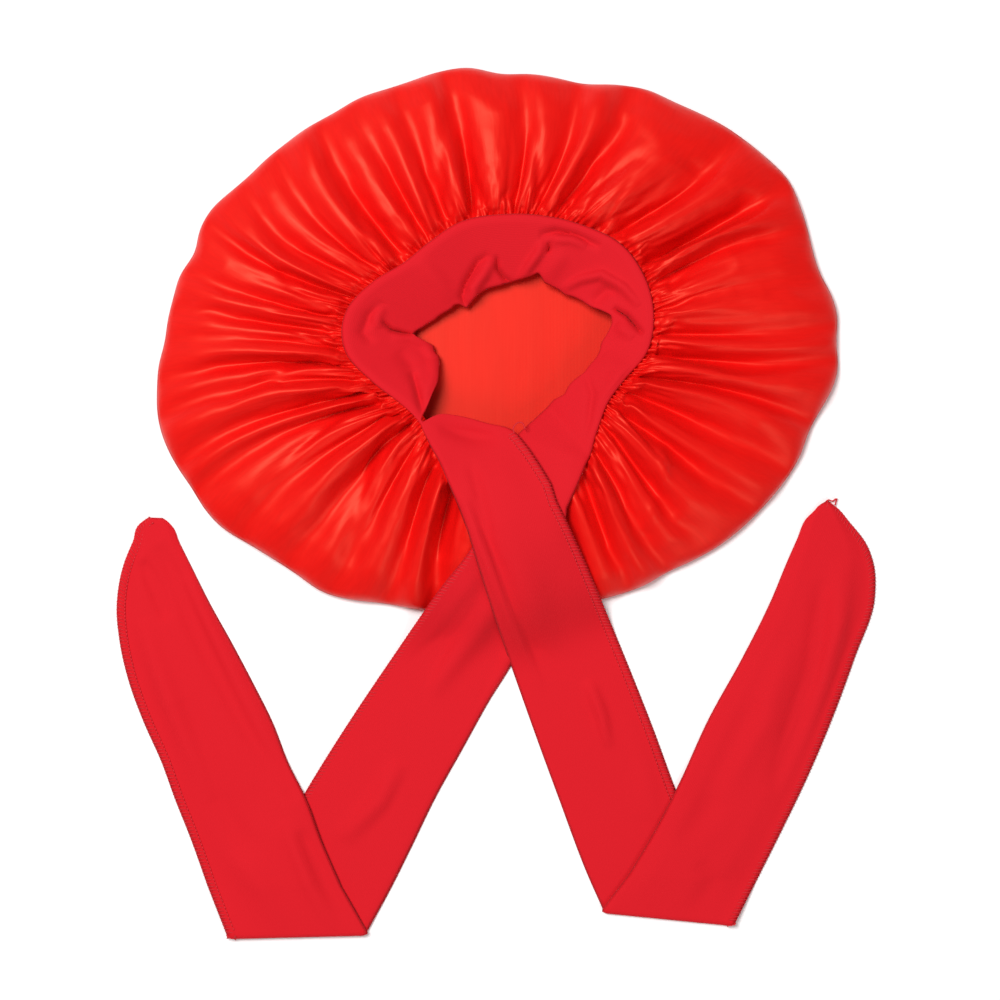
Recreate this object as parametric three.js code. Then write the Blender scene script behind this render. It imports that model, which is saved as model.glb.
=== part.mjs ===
// Sleep cap: a wide satin crown that lies on its back with the mouth up, gathered into a
// folded knit band. The band's two ends run on as long ties, crossed in front of the mouth,
// laid down over the crown's rim onto the surface and folded back once each.
// Units are millimetres and +Z is up. The origin is on the surface under the crown's middle,
// and the ties run towards -Y.
import * as THREE from 'three';

// Crown: outline of the rim and of the seam with the band, seen from above
const RIM_HALF_WIDTH = 190;
const RIM_HALF_DEPTH = 153;
const SEAM_HALF_WIDTH = 87;
const SEAM_HALF_DEPTH = 77;
const SEAM_SHIFT_X = 1;
const SEAM_SHIFT_Y = -5;

// Crown: height of the seam above the surface, and how far the folds stand up from the satin
const SEAM_HEIGHT = 20;
const FOLD_RISE = 8;
const FOLD_DIP = 3;
const SATIN_WALL = 1.2;
const SEAM_ALLOWANCE = 4;

// Band and ties: one strip of knit, folded double
const KNIT_WALL = 1.8;
const BAND_WIDTH = 57;
const BAND_SINK = 12;
const BAND_RIPPLE = 2.4;
const TIE_WIDTH = 57;

// Ties: length of each leg, and its heading in degrees from +X
const OVER_FIRST_LENGTH = 310;
const OVER_FIRST_HEADING = -64.4;
const OVER_SECOND_LENGTH = 247;
const OVER_SECOND_HEADING = 68.8;
const UNDER_FIRST_LENGTH = 316;
const UNDER_FIRST_HEADING = -119;
const UNDER_SECOND_LENGTH = 246;
const UNDER_SECOND_HEADING = 108.7;

// Clearances: at a seam, inside a fold, and of cloth laid over cloth
const SEAM_GAP = 0.3;
const FOLD_GAP = 0.6;
const LAY_GAP = 0.8;
// How far cloth holds level past what it lies on, and how steeply it then falls
const LAY_REACH = 6;
const LAY_FALL = 0.9;

// Fineness of the solids
const COLUMNS_PER_FOLD = 4;
const BAND_COLUMNS = 68;
const LEG_STEPS = 24;
// Rings and spokes of places around a point that cloth laid there has to clear
const LAY_RINGS = 12;
const LAY_SPOKES = 16;

// Seam outline as shares of the seam's half sizes, by turn from +X in degrees
const SEAM_OUTLINE = [
  { turn: 0, share: 0.95 }, { turn: 15, share: 1.03 }, { turn: 30, share: 1.06 },
  { turn: 45, share: 1.08 }, { turn: 60, share: 1.05 }, { turn: 75, share: 1.01 },
  { turn: 90, share: 0.99 }, { turn: 105, share: 0.97 }, { turn: 120, share: 0.92 },
  { turn: 135, share: 0.9 }, { turn: 150, share: 0.98 }, { turn: 165, share: 1.04 },
  { turn: 180, share: 1.0 }, { turn: 195, share: 0.87 }, { turn: 210, share: 0.77 },
  { turn: 225, share: 0.78 }, { turn: 240, share: 0.85 }, { turn: 255, share: 0.92 },
  { turn: 270, share: 0.96 }, { turn: 285, share: 0.95 }, { turn: 300, share: 0.93 },
  { turn: 315, share: 0.87 }, { turn: 330, share: 0.81 }, { turn: 345, share: 0.83 },
];

// Rim outline as shares of the rim's half sizes, by turn from +X in degrees
const RIM_OUTLINE = [
  { turn: 0, share: 0.99 }, { turn: 15, share: 0.975 }, { turn: 30, share: 1.016 },
  { turn: 45, share: 1.032 }, { turn: 60, share: 1.016 }, { turn: 75, share: 0.976 },
  { turn: 90, share: 0.978 }, { turn: 99, share: 1.015 }, { turn: 110, share: 0.985 },
  { turn: 120, share: 0.972 }, { turn: 135, share: 0.96 }, { turn: 150, share: 0.97 },
  { turn: 165, share: 0.972 }, { turn: 180, share: 0.986 }, { turn: 195, share: 1.042 },
  { turn: 210, share: 1.052 }, { turn: 225, share: 1.042 }, { turn: 240, share: 1.05 },
  { turn: 255, share: 1.02 }, { turn: 270, share: 1.0 }, { turn: 285, share: 0.985 },
  { turn: 300, share: 0.972 }, { turn: 315, share: 0.982 }, { turn: 330, share: 0.98 },
  { turn: 345, share: 0.968 },
];

// Folds of the satin: turn where each ridge leaves the seam, turn where it meets the rim,
// and how high it stands as a share of the fold rise
const FOLDS = [
  { seam: 3, rim: 1, rise: 0.7 }, { seam: 13, rim: 8, rise: 0.8 },
  { seam: 20, rim: 18, rise: 0.5 }, { seam: 31, rim: 30, rise: 0.9 },
  { seam: 44, rim: 43, rise: 0.8 }, { seam: 61, rim: 56, rise: 1.0 },
  { seam: 75, rim: 73, rise: 0.8 }, { seam: 83, rim: 84, rise: 0.6 },
  { seam: 91, rim: 92, rise: 0.7 }, { seam: 104, rim: 103, rise: 0.9 },
  { seam: 117, rim: 113, rise: 0.8 }, { seam: 126, rim: 120, rise: 0.6 },
  { seam: 139, rim: 127, rise: 1.0 }, { seam: 147, rim: 138, rise: 0.6 },
  { seam: 156, rim: 149, rise: 0.9 }, { seam: 163, rim: 158, rise: 0.6 },
  { seam: 170, rim: 168, rise: 0.7 }, { seam: 176, rim: 176, rise: 0.6 },
  { seam: 183, rim: 183, rise: 0.9 }, { seam: 190, rim: 191, rise: 0.6 },
  { seam: 197, rim: 199, rise: 0.9 }, { seam: 204, rim: 208, rise: 0.8 },
  { seam: 211, rim: 218, rise: 0.6 }, { seam: 218, rim: 228, rise: 1.0 },
  { seam: 226, rim: 237, rise: 0.7 }, { seam: 236, rim: 246, rise: 0.8 },
  { seam: 248, rim: 255, rise: 1.0 }, { seam: 260, rim: 265, rise: 0.8 },
  { seam: 272, rim: 274, rise: 1.0 }, { seam: 284, rim: 282, rise: 0.8 },
  { seam: 295, rim: 289, rise: 0.7 }, { seam: 305, rim: 297, rise: 1.0 },
  { seam: 317, rim: 306, rise: 0.7 }, { seam: 326, rim: 315, rise: 0.9 },
  { seam: 334, rim: 325, rise: 0.7 }, { seam: 343, rim: 338, rise: 0.9 },
  { seam: 352, rim: 350, rise: 0.8 },
];

// The crown from the seam to the rim and round below it: share of the way out to the rim,
// height as a share of the seam's height, and how fully a fold stands up there
const CROWN_PROFILE = [
  { out: 0.0, up: 1.0, swell: 0.0 },
  { out: 0.1, up: 1.0, swell: 0.6 },
  { out: 0.25, up: 0.98, swell: 1.0 },
  { out: 0.45, up: 0.92, swell: 0.95 },
  { out: 0.65, up: 0.82, swell: 0.8 },
  { out: 0.82, up: 0.68, swell: 0.55 },
  { out: 0.94, up: 0.47, swell: 0.3 },
  { out: 1.0, up: 0.23, swell: 0.1 },
  { out: 0.985, up: 0.06, swell: 0.0 },
  { out: 0.95, up: 0.0, swell: 0.0 },
];
const RIM_ROW = 7;
// Middle of the crown's flat underside, off the origin as shares of the rim's half width
const HUB = { x: 0.045, y: 0.03 };

// The band by turn from +X: how far it reaches into the mouth as a share of its width, and
// how its free edge lifts or sinks as a share of the ripple. It starts at the left end, runs
// round the back of the mouth and ends on the right.
const BAND_ROWS = [
  { turn: 226, reach: 0.31, lift: 0.2 }, { turn: 216, reach: 0.42, lift: 0.6 },
  { turn: 206, reach: 0.53, lift: -0.6 }, { turn: 196, reach: 0.75, lift: -0.4 },
  { turn: 186, reach: 0.84, lift: 0.7 }, { turn: 174, reach: 0.8, lift: -0.3 },
  { turn: 162, reach: 0.83, lift: -0.8 }, { turn: 150, reach: 0.74, lift: 0.5 },
  { turn: 136, reach: 0.74, lift: -0.5 }, { turn: 120, reach: 0.74, lift: 0.8 },
  { turn: 106, reach: 0.74, lift: -0.6 }, { turn: 92, reach: 0.76, lift: 0.7 },
  { turn: 80, reach: 0.67, lift: -0.7 }, { turn: 68, reach: 0.66, lift: 0.9 },
  { turn: 54, reach: 0.68, lift: -0.2 }, { turn: 40, reach: 0.79, lift: 0.6 },
  { turn: 26, reach: 0.72, lift: -0.6 }, { turn: 12, reach: 0.54, lift: 0.4 },
  { turn: 0, reach: 0.51, lift: -0.4 }, { turn: -14, reach: 0.43, lift: 0.3 },
  { turn: -28, reach: 0.42, lift: 0.0 }, { turn: -40, reach: 0.5, lift: 0.4 },
  { turn: -54, reach: 0.68, lift: 0.1 },
];
// Shares of the way across, from the seam edge to the free edge, of the strip's long edges
const ACROSS = [0, 0.16, 0.38, 0.6, 0.8, 1];

// Legs of the ties. run is a share of the leg's length. west and east are the two edges'
// distances from the leg's axis and slant is how far the east edge runs ahead of the west
// one, all as shares of the tie's width.
const OVER_FIRST_LEG = [
  { run: 0.041, west: -0.14, east: 0.38, slant: -0.14 },
  { run: 0.099, west: -0.16, east: 0.76, slant: -0.13 },
  { run: 0.174, west: -0.16, east: 0.82, slant: -0.01 },
  { run: 0.252, west: -0.16, east: 0.82, slant: 0.17 },
  { run: 0.421, west: -0.25, east: 0.76, slant: 0.32 },
  { run: 0.616, west: -0.37, east: 0.68, slant: 0.51 },
  { run: 0.776, west: -0.46, east: 0.6, slant: 0.59 },
  { run: 0.931, west: -0.56, east: 0.54, slant: 0.64 },
  { run: 1.0, west: -0.56, east: 0.56, slant: 0.68 },
];
const OVER_SECOND_LEG = [
  { run: 0.098, west: -0.54, east: 0.66, slant: 0.36 },
  { run: 0.215, west: -0.46, east: 0.7, slant: 0.39 },
  { run: 0.352, west: -0.4, east: 0.75, slant: 0.44 },
  { run: 0.5, west: -0.36, east: 0.77, slant: 0.44 },
  { run: 0.649, west: -0.27, east: 0.79, slant: 0.41 },
  { run: 0.795, west: -0.21, east: 0.77, slant: 0.38 },
  { run: 0.884, west: -0.19, east: 0.58, slant: 0.3 },
  { run: 0.924, west: -0.18, east: 0.46, slant: 0.22 },
  { run: 0.964, west: -0.16, east: 0.28, slant: 0.13 },
  { run: 0.99, west: -0.09, east: 0.1, slant: 0.05 },
];
const UNDER_FIRST_LEG = [
  { run: 0.041, west: -0.39, east: 0.33, slant: 0.31 },
  { run: 0.088, west: -0.49, east: 0.34, slant: 0.29 },
  { run: 0.176, west: -0.41, east: 0.45, slant: 0.27 },
  { run: 0.27, west: -0.33, east: 0.53, slant: 0.25 },
  { run: 0.375, west: -0.41, east: 0.59, slant: 0.23 },
  { run: 0.492, west: -0.49, east: 0.57, slant: -0.08 },
  { run: 0.6, west: -0.55, east: 0.57, slant: -0.28 },
  { run: 0.714, west: -0.6, east: 0.55, slant: -0.41 },
  { run: 0.822, west: -0.61, east: 0.57, slant: -0.52 },
  { run: 0.918, west: -0.61, east: 0.59, slant: -0.62 },
  { run: 1.0, west: -0.59, east: 0.59, slant: -0.7 },
];
const UNDER_SECOND_LEG = [
  { run: 0.117, west: -0.63, east: 0.62, slant: -0.42 },
  { run: 0.234, west: -0.64, east: 0.58, slant: -0.43 },
  { run: 0.323, west: -0.66, east: 0.57, slant: -0.42 },
  { run: 0.421, west: -0.67, east: 0.51, slant: -0.4 },
  { run: 0.519, west: -0.71, east: 0.49, slant: -0.41 },
  { run: 0.617, west: -0.73, east: 0.43, slant: -0.39 },
  { run: 0.714, west: -0.7, east: 0.36, slant: -0.36 },
  { run: 0.809, west: -0.61, east: 0.28, slant: -0.3 },
  { run: 0.9, west: -0.43, east: 0.21, slant: -0.22 },
  { run: 0.944, west: -0.29, east: 0.17, slant: -0.16 },
  { run: 0.985, west: -0.15, east: 0.14, slant: -0.1 },
  { run: 0.997, west: -0.05, east: 0.09, slant: -0.05 },
];

const FULL_TURN = 360;
const { lerp, degToRad } = THREE.MathUtils;

// One named column of a table at a place along it, on a smooth curve through the rows.
// A table that closes on itself gives the length of its round in `round`.
function readTable(table, key, placeKey, place, round = 0) {
  const count = table.length;
  const rowAt = (index) => {
    if (!round) return table[Math.min(Math.max(index, 0), count - 1)];
    return table[((index % count) + count) % count];
  };
  const placeAt = (index) => {
    const laps = round ? Math.floor(index / count) : 0;
    return rowAt(index)[placeKey] + laps * round;
  };
  const rising = table[count - 1][placeKey] > table[0][placeKey] ? 1 : -1;
  let at = round ? ((place % round) + round) % round : place;
  if (round && at < table[0][placeKey]) at += round;
  let low = 0;
  while (low < count - (round ? 1 : 2) && (placeAt(low + 1) - at) * rising <= 0) low += 1;
  const from = placeAt(low);
  const to = placeAt(low + 1);
  const share = Math.min(Math.max((at - from) / (to - from), 0), 1);
  const slope = (index) => {
    const span = placeAt(index + 1) - placeAt(index - 1);
    return span ? (rowAt(index + 1)[key] - rowAt(index - 1)[key]) / span : 0;
  };
  const step = to - from;
  const square = share * share;
  const cube = square * share;
  return (2 * cube - 3 * square + 1) * rowAt(low)[key]
    + (cube - 2 * square + share) * step * slope(low)
    + (3 * square - 2 * cube) * rowAt(low + 1)[key]
    + (cube - square) * step * slope(low + 1);
}

// A point of the seam line, `inside` mm in towards the mouth's middle
function seamPoint(turn, inside = 0) {
  const angle = degToRad(turn);
  const share = readTable(SEAM_OUTLINE, 'share', 'turn', turn, FULL_TURN);
  const x = SEAM_HALF_WIDTH * share * Math.cos(angle);
  const y = SEAM_HALF_DEPTH * share * Math.sin(angle);
  const keep = 1 - inside / Math.hypot(x, y);
  return new THREE.Vector2(SEAM_SHIFT_X + x * keep, SEAM_SHIFT_Y + y * keep);
}

function rimPoint(turn) {
  const angle = degToRad(turn);
  const share = readTable(RIM_OUTLINE, 'share', 'turn', turn, FULL_TURN);
  return new THREE.Vector2(
    RIM_HALF_WIDTH * share * Math.cos(angle),
    RIM_HALF_DEPTH * share * Math.sin(angle),
  );
}

// Depth of a place inside the crown's cut edge, measured towards the middle of the mouth;
// less than 0 outside it
function depthInMouth(x, y) {
  const dx = x - SEAM_SHIFT_X;
  const dy = y - SEAM_SHIFT_Y;
  const turn = THREE.MathUtils.radToDeg(Math.atan2(dy / SEAM_HALF_DEPTH, dx / SEAM_HALF_WIDTH));
  const edge = seamPoint(turn, SEAM_ALLOWANCE);
  return Math.hypot(edge.x - SEAM_SHIFT_X, edge.y - SEAM_SHIFT_Y) - Math.hypot(dx, dy);
}

// Height of cloth that hangs in from the seam over the open mouth, 0 outside the mouth
function hangHeight(x, y) {
  const depth = depthInMouth(x, y);
  if (depth < 0) return 0;
  return SEAM_HEIGHT + SEAM_GAP - BAND_SINK * Math.min(depth / BAND_WIDTH, 1);
}

// Collects the points and faces of one closed body
class Body {
  constructor() {
    this.positions = [];
    this.faces = [];
  }

  point(p) {
    this.positions.push(p.x, p.y, p.z);
    return this.positions.length / 3 - 1;
  }

  // The points of a grid, row by row; returns their numbers
  grid(rows) {
    return rows.map((row) => row.map((p) => this.point(p)));
  }

  quad(a, b, c, d) {
    this.faces.push(a, b, c, a, c, d);
  }

  // Faces between two rows of point numbers; `around` joins the last to the first
  ribbon(first, second, around = false) {
    const last = first.length - (around ? 0 : 1);
    for (let k = 0; k < last; k += 1) {
      const next = (k + 1) % first.length;
      this.quad(first[k], first[next], second[next], second[k]);
    }
  }

  fan(ring, hub) {
    ring.forEach((point, k) => this.faces.push(point, ring[(k + 1) % ring.length], hub));
  }

  // The body as a geometry whose faces point outwards
  geometry() {
    const corner = (index) => new THREE.Vector3().fromArray(this.positions, index * 3);
    let volume = 0;
    for (let k = 0; k < this.faces.length; k += 3) {
      const [a, b, c] = [0, 1, 2].map((step) => corner(this.faces[k + step]));
      volume += a.dot(b.cross(c));
    }
    if (volume < 0) this.faces.reverse();
    const geometry = new THREE.BufferGeometry();
    geometry.setAttribute('position', new THREE.Float32BufferAttribute(this.positions, 3));
    geometry.setIndex(this.faces);
    geometry.computeVertexNormals();
    return geometry;
  }
}

// A strip of cloth between two skins, each a grid of rows of points, closed all round its edge
function stripGeometry(upper, lower) {
  const body = new Body();
  const top = body.grid(upper);
  const under = body.grid(lower);
  for (let k = 0; k + 1 < top.length; k += 1) {
    body.ribbon(top[k], top[k + 1]);
    body.ribbon(under[k + 1], under[k]);
  }
  const last = top.length - 1;
  const end = top[0].length - 1;
  const edge = (grid, column) => grid.map((row) => row[column]);
  body.ribbon(under[0], top[0]);
  body.ribbon(top[last], under[last]);
  body.ribbon(edge(top, 0), edge(under, 0));
  body.ribbon(edge(under, end), edge(top, end));
  return body.geometry();
}

// The columns of the crown: where each leaves the seam and meets the rim, and how high its
// satin stands. Every fold has a ridge, a valley half way to the next and flanks between.
function crownColumns() {
  const columns = [];
  FOLDS.forEach((fold, index) => {
    const wraps = index === FOLDS.length - 1;
    const next = FOLDS[wraps ? 0 : index + 1];
    const lap = wraps ? FULL_TURN : 0;
    for (let step = 0; step < COLUMNS_PER_FOLD; step += 1) {
      const share = step / COLUMNS_PER_FOLD;
      const wave = (1 + Math.cos(share * 2 * Math.PI)) / 2;
      const rise = lerp(fold.rise, next.rise, share);
      columns.push({
        seam: lerp(fold.seam, next.seam + lap, share),
        rim: lerp(fold.rim, next.rim + lap, share),
        lift: rise * (FOLD_RISE * wave - FOLD_DIP * (1 - wave)),
      });
    }
  });
  return columns;
}

// Outer skin of one column of the crown, from its cut edge under the band to the underside
function crownColumn(column) {
  const edge = seamPoint(column.seam, SEAM_ALLOWANCE);
  const points = [new THREE.Vector3(edge.x, edge.y, SEAM_HEIGHT)];
  CROWN_PROFILE.forEach((row) => {
    const turn = lerp(column.seam, column.rim, row.out);
    const plan = seamPoint(turn).lerp(rimPoint(turn), row.out);
    points.push(new THREE.Vector3(plan.x, plan.y, SEAM_HEIGHT * row.up + column.lift * row.swell));
  });
  return points;
}

// Inner skin of one column: the wall is laid off square to the crown's own profile, so that
// both skins carry the same folds
function insideColumn(column) {
  const flat = crownColumn({ ...column, lift: 0 });
  const outward = rimPoint(column.rim).normalize();
  return crownColumn(column).map((point, row, all) => {
    const before = flat[Math.max(row - 1, 0)];
    const after = flat[Math.min(row + 1, all.length - 1)];
    const run = (after.x - before.x) * outward.x + (after.y - before.y) * outward.y;
    const climb = after.z - before.z;
    const length = Math.hypot(run, climb);
    const inward = SATIN_WALL * climb / length;
    const down = SATIN_WALL * run / length;
    const level = row === 0 || row === all.length - 1;
    return new THREE.Vector3(
      point.x + (level ? 0 : inward * outward.x),
      point.y + (level ? 0 : inward * outward.y),
      row === all.length - 1 ? SATIN_WALL : point.z - (level ? SATIN_WALL : down),
    );
  });
}

function crownGeometry(columns) {
  const body = new Body();
  const turned = (grid) => grid[0].map((_, row) => grid.map((column) => column[row]));
  const outer = body.grid(turned(columns.map(crownColumn)));
  const inner = body.grid(turned(columns.map(insideColumn)));
  for (let row = 0; row + 1 < outer.length; row += 1) {
    body.ribbon(outer[row], outer[row + 1], true);
    body.ribbon(inner[row + 1], inner[row], true);
  }
  body.ribbon(inner[0], outer[0], true);
  const hub = new THREE.Vector3(HUB.x, HUB.y, 0).multiplyScalar(RIM_HALF_WIDTH);
  const last = outer.length - 1;
  body.fan(outer[last], body.point(hub));
  body.fan([...inner[last]].reverse(), body.point(hub.clone().setZ(SATIN_WALL)));
  return body.geometry();
}

// One row of points across the band at a turn, lower skin; it lies on the crown's edge and
// hangs in over the mouth
function bandRow(turn) {
  const reach = BAND_WIDTH * readTable(BAND_ROWS, 'reach', 'turn', turn);
  const lift = BAND_RIPPLE * readTable(BAND_ROWS, 'lift', 'turn', turn);
  return ACROSS.map((share) => {
    const inside = share === 0 ? 0 : Math.max(SEAM_ALLOWANCE, reach * share);
    const plan = seamPoint(turn, inside);
    const ripple = lift * Math.sin(share * Math.PI * 0.75) * Math.min(share * 2, 1);
    const free = share > 0.2 ? ripple : 0;
    const level = share > 0.2 ? hangHeight(plan.x, plan.y) : SEAM_HEIGHT + SEAM_GAP;
    return new THREE.Vector3(plan.x, plan.y, level + free);
  });
}

function bandRows() {
  const first = BAND_ROWS[0].turn;
  const last = BAND_ROWS[BAND_ROWS.length - 1].turn;
  return Array.from({ length: BAND_COLUMNS + 1 }, (_, k) => (
    bandRow(lerp(first, last, k / BAND_COLUMNS))
  ));
}

const raised = (row, by) => row.map((p) => p.clone().setZ(p.z + by));

// The triangles of a laid surface, seen from above, for cloth that lies on them
function surfaceOf(rows, around = false) {
  const triangles = [];
  const add = (a, b, c) => triangles.push({
    a,
    b,
    c,
    area: (b.x - a.x) * (c.y - a.y) - (c.x - a.x) * (b.y - a.y),
    box: new THREE.Box2().setFromPoints([a, b, c].map((p) => new THREE.Vector2(p.x, p.y))),
  });
  const last = rows.length - (around ? 0 : 1);
  for (let k = 0; k < last; k += 1) {
    const row = rows[k];
    const next = rows[(k + 1) % rows.length];
    for (let j = 0; j + 1 < row.length; j += 1) {
      add(row[j], row[j + 1], next[j + 1]);
      add(row[j], next[j + 1], next[j]);
    }
  }
  return triangles.filter((triangle) => triangle.area !== 0);
}

// Height of a surface's highest point over a place, or 0 where it isn't there
function heightOver(surface, x, y) {
  let height = 0;
  surface.forEach(({ a, b, c, area, box }) => {
    if (x < box.min.x || x > box.max.x || y < box.min.y || y > box.max.y) return;
    const toB = ((x - a.x) * (c.y - a.y) - (c.x - a.x) * (y - a.y)) / area;
    const toC = ((b.x - a.x) * (y - a.y) - (x - a.x) * (b.y - a.y)) / area;
    if (toB < 0 || toC < 0 || toB + toC > 1) return;
    height = Math.max(height, a.z + toB * (b.z - a.z) + toC * (c.z - a.z));
  });
  return height;
}

// Height of the underside of cloth laid over surfaces: it clears what is below and near it,
// falls away past an edge, and rests on the table where nothing else carries it
function layHeight(surfaces, x, y) {
  let height = hangHeight(x, y);
  const farthest = LAY_REACH + (SEAM_HEIGHT + FOLD_RISE) / LAY_FALL;
  for (let ring = 0; ring <= LAY_RINGS; ring += 1) {
    const radius = farthest * ring / LAY_RINGS;
    const drop = Math.max(radius - LAY_REACH, 0) * LAY_FALL;
    for (let spoke = 0; spoke < (ring ? LAY_SPOKES : 1); spoke += 1) {
      const angle = (spoke + ring / 2) * 2 * Math.PI / LAY_SPOKES;
      const px = x + radius * Math.cos(angle);
      const py = y + radius * Math.sin(angle);
      surfaces.forEach((surface) => {
        const top = heightOver(surface, px, py);
        if (top > 0) height = Math.max(height, top + LAY_GAP - drop);
      });
    }
  }
  return height;
}

// The two edges of each section of a leg, from its table
function legEdges(start, heading, length, table) {
  const along = new THREE.Vector2(1, 0).rotateAround(new THREE.Vector2(), degToRad(heading));
  const east = new THREE.Vector2(Math.abs(along.y), along.y > 0 ? -along.x : along.x);
  const first = table[0].run;
  const last = table[table.length - 1].run;
  return Array.from({ length: LEG_STEPS + 1 }, (_, k) => {
    const run = lerp(first, last, k / LEG_STEPS);
    const value = (key) => readTable(table, key, 'run', run);
    const edge = (side, lead) => start.clone()
      .addScaledVector(along, run * length + lead * TIE_WIDTH * value('slant') / 2)
      .addScaledVector(east, TIE_WIDTH * value(side));
    return { west: edge('west', -1), east: edge('east', 1) };
  });
}

// Points across a section, from the edge that carries on the seam to the other one
function acrossSection(section, seamSide) {
  const from = section[seamSide];
  const to = section[seamSide === 'west' ? 'east' : 'west'];
  return ACROSS.map((share) => from.clone().lerp(to, share));
}

// One tie: it starts on the band's end row, runs down its first leg over the surfaces given,
// turns over in a fold and lies back on itself and the table along its second leg
function layTie({ endRow, beforeEnd, seamSide, first, second, surfaces }) {
  const away = endRow.map((p, k) => p.clone().sub(beforeEnd[k]).setZ(0).normalize());
  const start = endRow.map((p, k) => p.clone().addScaledVector(away[k], SEAM_GAP));
  const middle = new THREE.Vector2(
    (endRow[0].x + endRow[endRow.length - 1].x) / 2,
    (endRow[0].y + endRow[endRow.length - 1].y) / 2,
  );
  const laid = (section, beneath) => acrossSection(section, seamSide).map((p) => (
    new THREE.Vector3(p.x, p.y, layHeight(beneath, p.x, p.y))
  ));
  const firstEdges = legEdges(middle, first.heading, first.length, first.table);
  const firstLower = [start, ...firstEdges.map((section) => laid(section, surfaces))];
  const firstUpper = firstLower.map((row) => raised(row, KNIT_WALL));

  const crease = firstEdges[firstEdges.length - 1];
  const turn = crease.west.clone().add(crease.east).multiplyScalar(0.5);
  const secondEdges = legEdges(turn, second.heading, second.length, second.table);
  const firstTop = surfaceOf(firstUpper);
  const creaseRow = firstUpper[firstUpper.length - 1];
  const overLeg = (section) => laid(section, [firstTop]);
  const secondLower = [raised(creaseRow, FOLD_GAP), ...secondEdges.map(overLeg)];
  const secondUpper = secondLower.map((row) => raised(row, KNIT_WALL));

  // The outside of the fold bulges past the crease by half the folded cloth's thickness
  const fold = creaseRow[creaseRow.length - 1].clone().sub(creaseRow[0]).setZ(0);
  const ahead = new THREE.Vector3(1, 0, 0)
    .applyAxisAngle(new THREE.Vector3(0, 0, 1), degToRad(first.heading))
    .projectOnPlane(fold)
    .normalize();
  const bulge = creaseRow.map((p) => (
    p.clone().addScaledVector(ahead, KNIT_WALL + FOLD_GAP / 2).setZ(p.z + FOLD_GAP / 2)
  ));
  const tuck = raised(creaseRow, FOLD_GAP / 2);
  return {
    inside: [...firstUpper, tuck, ...secondLower],
    outside: [...firstLower, bulge, ...secondUpper],
    top: [firstTop, surfaceOf(secondUpper)],
  };
}

const satin = new THREE.MeshStandardMaterial({ color: 0xf4301f, roughness: 0.35, metalness: 0 });
const knit = new THREE.MeshStandardMaterial({ color: 0xd91c2b, roughness: 0.85, metalness: 0 });

const cap = new THREE.Group();

function addPiece(name, geometry, material) {
  const mesh = new THREE.Mesh(geometry, material);
  mesh.name = name;
  cap.add(mesh);
}

const columns = crownColumns();
addPiece('crown', crownGeometry(columns), satin);
const crownTop = surfaceOf(columns.map((column) => crownColumn(column).slice(0, RIM_ROW + 2)), true);

const bandLower = bandRows();
const bandUpper = bandLower.map((row) => raised(row, KNIT_WALL));
addPiece('band', stripGeometry(bandUpper, bandLower), knit);
const halfWay = BAND_COLUMNS / 2;
const bandLeftTop = surfaceOf(bandUpper.slice(0, halfWay));
const bandRightTop = surfaceOf(bandUpper.slice(halfWay));

const tieUnder = layTie({
  endRow: bandLower[BAND_COLUMNS],
  beforeEnd: bandLower[BAND_COLUMNS - 1],
  seamSide: 'east',
  first: {
    heading: UNDER_FIRST_HEADING, length: UNDER_FIRST_LENGTH, table: UNDER_FIRST_LEG,
  },
  second: {
    heading: UNDER_SECOND_HEADING, length: UNDER_SECOND_LENGTH, table: UNDER_SECOND_LEG,
  },
  surfaces: [crownTop, bandLeftTop],
});
addPiece('tie_under', stripGeometry(tieUnder.inside, tieUnder.outside), knit);

const tieOver = layTie({
  endRow: bandLower[0],
  beforeEnd: bandLower[1],
  seamSide: 'west',
  first: {
    heading: OVER_FIRST_HEADING, length: OVER_FIRST_LENGTH, table: OVER_FIRST_LEG,
  },
  second: {
    heading: OVER_SECOND_HEADING, length: OVER_SECOND_LENGTH, table: OVER_SECOND_LEG,
  },
  surfaces: [crownTop, bandRightTop, ...tieUnder.top],
});
addPiece('tie_over', stripGeometry(tieOver.inside, tieOver.outside), knit);

export default cap;
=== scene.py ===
# %% [markdown]
# # A satin sleep cap with long knit ties
#
# The cap lies on its back with its mouth up. It has three kinds of cloth work: a wide crown
# of satin gathered into a seam, a folded band of jersey knit round the mouth, and the band's
# two ends, which run on as ties, cross in front and are folded back once each. The ties have
# one folded edge and one serged edge. The crown and the band follow the plan of the CAD
# solids, and the ties take their heights from them. Where the photograph shows more than the
# solids do, the cloth follows the photograph, up to about 9 mm from its solid.

import math

import bpy
import numpy as np
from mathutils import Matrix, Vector
from mathutils.bvhtree import BVHTree


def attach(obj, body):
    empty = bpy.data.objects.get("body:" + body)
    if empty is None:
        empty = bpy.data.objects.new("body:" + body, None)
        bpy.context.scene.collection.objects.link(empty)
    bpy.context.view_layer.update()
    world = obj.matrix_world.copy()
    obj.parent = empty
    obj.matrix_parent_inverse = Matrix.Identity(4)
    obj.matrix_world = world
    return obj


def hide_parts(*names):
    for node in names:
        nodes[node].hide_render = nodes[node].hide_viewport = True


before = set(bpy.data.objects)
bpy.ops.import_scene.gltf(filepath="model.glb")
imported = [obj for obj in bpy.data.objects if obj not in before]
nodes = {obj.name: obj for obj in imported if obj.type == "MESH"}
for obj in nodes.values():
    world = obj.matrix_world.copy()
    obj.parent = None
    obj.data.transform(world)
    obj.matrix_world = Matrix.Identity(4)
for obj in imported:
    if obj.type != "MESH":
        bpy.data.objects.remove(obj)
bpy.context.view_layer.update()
MM = 0.001

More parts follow.
